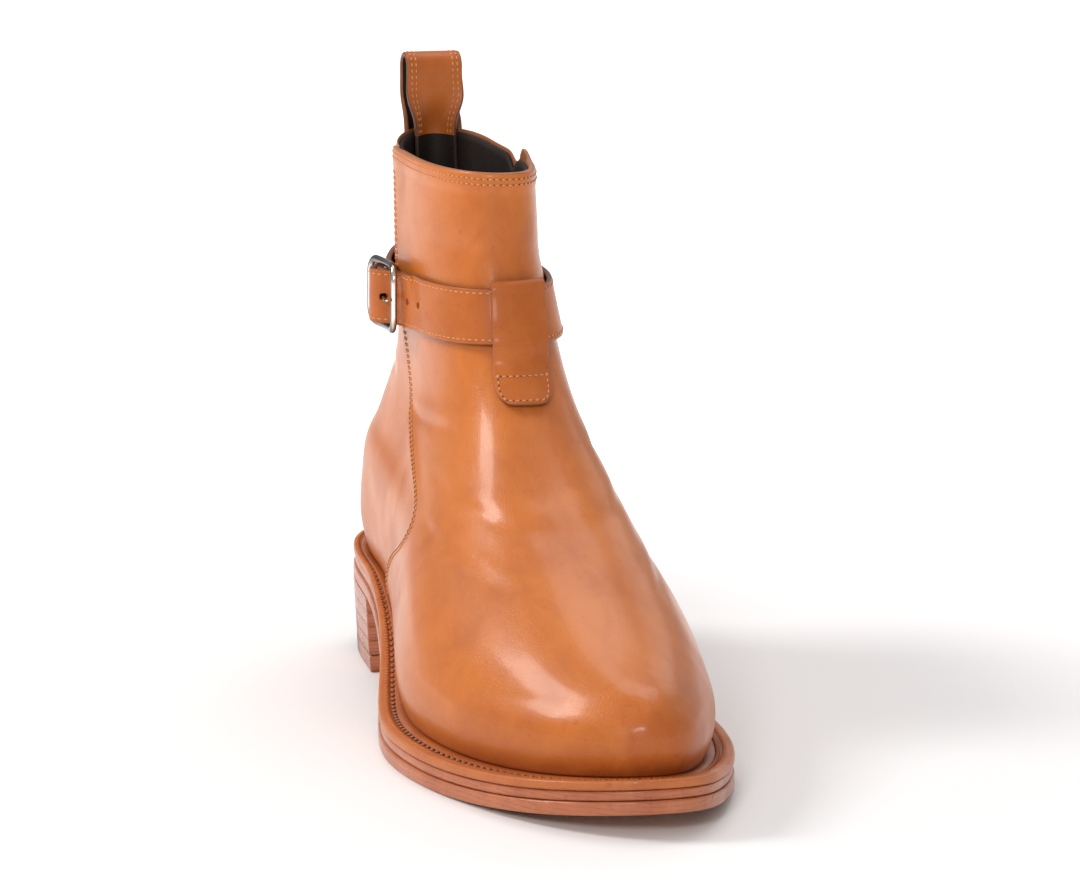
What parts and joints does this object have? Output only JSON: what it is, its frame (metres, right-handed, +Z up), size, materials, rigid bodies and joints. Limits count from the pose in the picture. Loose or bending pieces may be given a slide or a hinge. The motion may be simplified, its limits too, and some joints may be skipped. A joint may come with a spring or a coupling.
{
  "type": "jodhpur ankle boot",
  "caption": "Right-foot leather ankle boot with a stacked heel, a strap wrapped round the ankle to a side buckle, a front keeper and a pull loop at the back.",
  "frame": {"origin": "on the floor under the heel, on the flat underside of the leather half of the heel's top piece", "axes": "+Z up, -Y towards the toe, +X towards the inside of the foot (the wearer's left)"},
  "size_m": [0.1102, 0.2995, 0.2149],
  "materials": {
    "tan_leather": "burnished, semi-gloss",
    "welt_leather": "satin, stitched",
    "edge_leather": "waxed edge",
    "outsole_leather": "polished",
    "heel_leather": "stacked, waxed",
    "black_rubber": "matt",
    "insole_leather": "matt",
    "nickel_metal": "polished nickel"
  },
  "bodies": {
    "root": {"outsole": "outsole_leather", "midsole": "edge_leather", "welt": "welt_leather", "insole": "insole_leather", "heel_tip_rubber": "black_rubber", "heel_tip_leather": "outsole_leather", "heel_lift_1": "heel_leather", "heel_lift_2": "heel_leather", "heel_lift_3": "heel_leather", "heel_lift_4": "heel_leather", "upper": "tan_leather", "back_strip": "tan_leather", "ankle_strap": "tan_leather", "front_tab": "tan_leather", "buckle_frame": "nickel_metal", "buckle_prong": "nickel_metal"}
  },
  "joints": []
}
